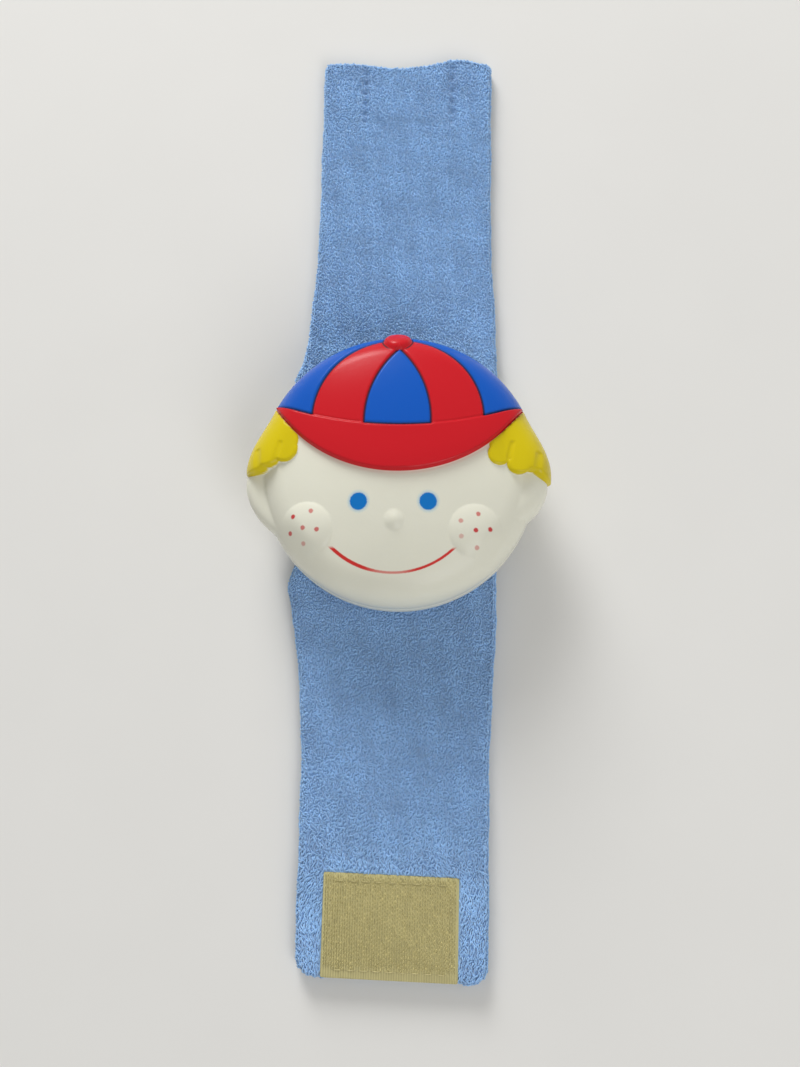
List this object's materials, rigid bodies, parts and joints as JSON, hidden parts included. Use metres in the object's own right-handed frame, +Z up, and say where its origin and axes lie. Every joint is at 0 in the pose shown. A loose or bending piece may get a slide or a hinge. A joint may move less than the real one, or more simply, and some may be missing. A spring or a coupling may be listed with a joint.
{
  "type": "baby wrist rattle",
  "caption": "Wrist rattle for a baby: hollow plastic face in a cap, threaded on a flat terry strap that wraps round the wrist and closes with hook and loop patches.",
  "frame": {"origin": "on the table under the middle of the rattle, with the strap laid flat", "axes": "+X across the strap to the right of the face, +Y along the strap towards the cap, +Z up out of the face"},
  "size_m": [0.059, 0.19, 0.0234],
  "materials": {
    "ivory_plastic": "semi-gloss moulded",
    "pellet_plastic": "moulded",
    "terry": "looped pile",
    "tape": "woven nylon hooks or loops",
    "thread": "polyester thread"
  },
  "bodies": {
    "rattle": {"face_shell": "ivory_plastic", "back_shell": "ivory_plastic", "strap_bridge": "ivory_plastic"},
    "pellet_1": {"pellet_1": "pellet_plastic"},
    "pellet_2": {"pellet_2": "pellet_plastic"},
    "pellet_3": {"pellet_3": "pellet_plastic"},
    "pellet_4": {"pellet_4": "pellet_plastic"},
    "pellet_5": {"pellet_5": "pellet_plastic"},
    "pellet_6": {"pellet_6": "pellet_plastic"},
    "pellet_7": {"pellet_7": "pellet_plastic"},
    "strap_mid": {"terry_front_mid": "terry", "terry_back_mid": "terry"},
    "strap_upper_1": {"terry_front_upper_1": "terry", "terry_back_upper_1": "terry"},
    "strap_upper_2": {"terry_front_upper_2": "terry", "terry_back_upper_2": "terry"},
    "strap_upper_3": {"terry_front_upper_3": "terry", "terry_back_upper_3": "terry"},
    "strap_upper_4": {"terry_front_upper_4": "terry", "terry_back_upper_4": "terry"},
    "strap_upper_5": {"terry_front_upper_5": "terry", "terry_back_upper_5": "terry", "loop_patch": "tape", "loop_stitching": "thread"},
    "strap_lower_1": {"terry_front_lower_1": "terry", "terry_back_lower_1": "terry"},
    "strap_lower_2": {"terry_front_lower_2": "terry", "terry_back_lower_2": "terry"},
    "strap_lower_3": {"terry_front_lower_3": "terry", "terry_back_lower_3": "terry"},
    "strap_lower_4": {"terry_front_lower_4": "terry", "terry_back_lower_4": "terry"},
    "strap_lower_5": {"terry_front_lower_5": "terry", "terry_back_lower_5": "terry", "hook_patch": "tape", "hook_stitching": "thread"}
  },
  "joints": [
    {"name": "strap_slide", "type": "slide", "parent": "rattle", "child": "strap_mid", "axis": [0, 1, 0], "range_m": [-0.008, 0.008]},
    {"name": "upper_bend_1", "type": "hinge", "parent": "strap_mid", "child": "strap_upper_1", "pos_m": [0, 0.016, 0.00205], "axis": [-1, 0, 0], "range_deg": [0, 36]},
    {"name": "upper_bend_2", "type": "hinge", "parent": "strap_upper_1", "child": "strap_upper_2", "pos_m": [0, 0.0305, 0], "axis": [-1, 0, 0], "range_deg": [0, 36]},
    {"name": "upper_bend_3", "type": "hinge", "parent": "strap_upper_2", "child": "strap_upper_3", "pos_m": [0, 0.045, 0], "axis": [-1, 0, 0], "range_deg": [0, 36]},
    {"name": "upper_bend_4", "type": "hinge", "parent": "strap_upper_3", "child": "strap_upper_4", "pos_m": [0, 0.0595, 0], "axis": [-1, 0, 0], "range_deg": [0, 36]},
    {"name": "upper_bend_5", "type": "hinge", "parent": "strap_upper_4", "child": "strap_upper_5", "pos_m": [0, 0.074, 0], "axis": [-1, 0, 0], "range_deg": [0, 36]},
    {"name": "lower_bend_1", "type": "hinge", "parent": "strap_mid", "child": "strap_lower_1", "pos_m": [0, -0.016, 0.00205], "axis": [1, 0, 0], "range_deg": [0, 36]},
    {"name": "lower_bend_2", "type": "hinge", "parent": "strap_lower_1", "child": "strap_lower_2", "pos_m": [0, -0.0292, 0], "axis": [1, 0, 0], "range_deg": [0, 36]},
    {"name": "lower_bend_3", "type": "hinge", "parent": "strap_lower_2", "child": "strap_lower_3", "pos_m": [0, -0.0424, 0], "axis": [1, 0, 0], "range_deg": [0, 36]},
    {"name": "lower_bend_4", "type": "hinge", "parent": "strap_lower_3", "child": "strap_lower_4", "pos_m": [0, -0.0556, 0], "axis": [1, 0, 0], "range_deg": [0, 36]},
    {"name": "lower_bend_5", "type": "hinge", "parent": "strap_lower_4", "child": "strap_lower_5", "pos_m": [0, -0.0688, 0], "axis": [1, 0, 0], "range_deg": [0, 36]},
    {"name": "pellet_1_roll", "type": "slide", "parent": "rattle", "child": "pellet_1", "axis": [0, 1, 0], "range_m": [-0.0214, 0.0094]},
    {"name": "pellet_2_roll", "type": "slide", "parent": "rattle", "child": "pellet_2", "axis": [0, 1, 0], "range_m": [-0.01, 0.028]},
    {"name": "pellet_3_roll", "type": "slide", "parent": "rattle", "child": "pellet_3", "axis": [0, 1, 0], "range_m": [-0.0229, 0.0189]},
    {"name": "pellet_4_roll", "type": "slide", "parent": "rattle", "child": "pellet_4", "axis": [0, 1, 0], "range_m": [-0.0085, 0.0345]},
    {"name": "pellet_5_roll", "type": "slide", "parent": "rattle", "child": "pellet_5", "axis": [0, 1, 0], "range_m": [-0.0299, 0.0119]},
    {"name": "pellet_6_roll", "type": "slide", "parent": "rattle", "child": "pellet_6", "axis": [0, 1, 0], "range_m": [-0.015, 0.023]},
    {"name": "pellet_7_roll", "type": "slide", "parent": "rattle", "child": "pellet_7", "axis": [0, 1, 0], "range_m": [-0.0224, 0.0084]}
  ],
  "couplings": [
    {"joint": "upper_bend_2", "follows": "upper_bend_1", "ratio": 1},
    {"joint": "upper_bend_3", "follows": "upper_bend_1", "ratio": 1},
    {"joint": "upper_bend_4", "follows": "upper_bend_1", "ratio": 1},
    {"joint": "upper_bend_5", "follows": "upper_bend_1", "ratio": 1},
    {"joint": "lower_bend_2", "follows": "lower_bend_1", "ratio": 1},
    {"joint": "lower_bend_3", "follows": "lower_bend_1", "ratio": 1},
    {"joint": "lower_bend_4", "follows": "lower_bend_1", "ratio": 1},
    {"joint": "lower_bend_5", "follows": "lower_bend_1", "ratio": 1}
  ]
}
